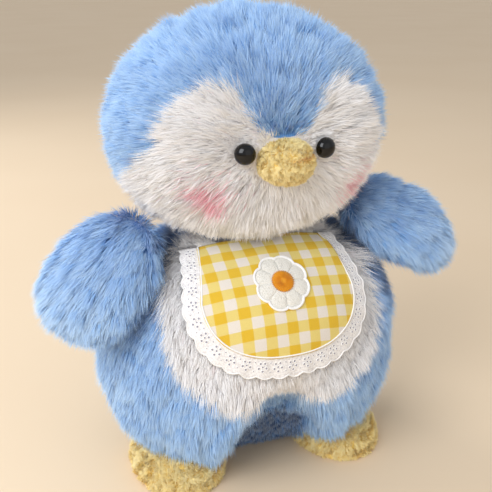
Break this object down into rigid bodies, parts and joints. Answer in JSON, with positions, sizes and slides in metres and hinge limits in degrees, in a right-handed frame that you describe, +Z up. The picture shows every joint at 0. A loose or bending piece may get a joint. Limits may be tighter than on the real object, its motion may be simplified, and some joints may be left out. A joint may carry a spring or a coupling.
{
  "type": "plush toy penguin",
  "caption": "Plush penguin standing on two short feet, with a heart-shaped white face, an oval beak, two flippers and a lace-edged gingham bib.",
  "frame": {"origin": "middle of the base panel's flat face, on the floor between the feet", "axes": "+Z up, -Y the way the penguin faces, +X to the penguin's own left"},
  "size_m": [0.2759, 0.1675, 0.296],
  "materials": {
    "blue_long_pile": "long-pile plush, pale blue with lighter tips",
    "white_long_pile": "long-pile plush, soft white",
    "yellow_short_pile": "short-pile plush, pale yellow",
    "fibre_fill": "loose polyester fibre fill",
    "pellet_cloth": "thin woven cloth round loose pellets",
    "black_gloss": "moulded black, glossy",
    "washer_plastic": "plain moulded natural plastic",
    "yellow_gingham": "yellow and white checked cotton",
    "white_cotton": "plain white woven cotton",
    "white_lace": "white cotton lace with a raised scalloped edge",
    "off_white_thread": "off-white looped towelling with a satin-stitched edge",
    "orange_thread": "orange satin stitch"
  },
  "bodies": {
    "body": {"body_back": "blue_long_pile", "belly_panel": "white_long_pile", "base_panel": "blue_long_pile", "body_stuffing": "fibre_fill", "pellet_bag": "pellet_cloth", "foot_upper_left": "yellow_short_pile", "foot_upper_right": "yellow_short_pile", "foot_sole_left": "yellow_short_pile", "foot_sole_right": "yellow_short_pile", "foot_stuffing_left": "fibre_fill", "foot_stuffing_right": "fibre_fill", "care_label": "white_cotton", "neck_band": "white_cotton", "closure_loop": "washer_plastic", "closure_hook": "washer_plastic", "bib_corner_left": "yellow_gingham", "bib_corner_right": "yellow_gingham"},
    "neck": {"neck_stuffing": "fibre_fill"},
    "head": {"head_cap": "blue_long_pile", "face_panel": "white_long_pile", "head_stuffing": "fibre_fill", "eye_left": "black_gloss", "eye_right": "black_gloss", "eye_washer_left": "washer_plastic", "eye_washer_right": "washer_plastic", "beak_upper": "yellow_short_pile", "beak_lower": "yellow_short_pile", "beak_stuffing": "fibre_fill"},
    "flipper_left": {"flipper_outer_left": "blue_long_pile", "flipper_inner_left": "blue_long_pile", "flipper_stuffing_left": "fibre_fill"},
    "flipper_right": {"flipper_outer_right": "blue_long_pile", "flipper_inner_right": "blue_long_pile", "flipper_stuffing_right": "fibre_fill"},
    "bib": {"bib_front": "yellow_gingham", "bib_lining": "white_cotton", "bib_lace": "white_lace", "flower_petals": "off_white_thread", "flower_centre": "orange_thread"}
  },
  "joints": [
    {"name": "neck_turn", "type": "hinge", "parent": "body", "child": "neck", "pos_m": [0, 0, 0.161], "axis": [0, 0, 1], "range_deg": [-25, 25], "stiffness_Nm_per_rad": 0.4},
    {"name": "head_nod", "type": "hinge", "parent": "neck", "child": "head", "pos_m": [0, 0, 0.161], "axis": [1, 0, 0], "range_deg": [-8, 8], "stiffness_Nm_per_rad": 1.5},
    {"name": "flipper_left_swing", "type": "hinge", "parent": "body", "child": "flipper_left", "pos_m": [0.06589, 0.00032, 0.161], "axis": [0.4818, 0.7936, 0.3716], "range_deg": [-18, 10], "stiffness_Nm_per_rad": 0.3},
    {"name": "flipper_right_swing", "type": "hinge", "parent": "body", "child": "flipper_right", "pos_m": [-0.06617, 0.00021, 0.161], "axis": [0.5765, -0.7572, -0.307], "range_deg": [-32, 0], "stiffness_Nm_per_rad": 0.3},
    {"name": "bib_lift", "type": "hinge", "parent": "body", "child": "bib", "pos_m": [0, -0.046, 0.156], "axis": [-1, 0, 0], "range_deg": [0, 60]}
  ]
}
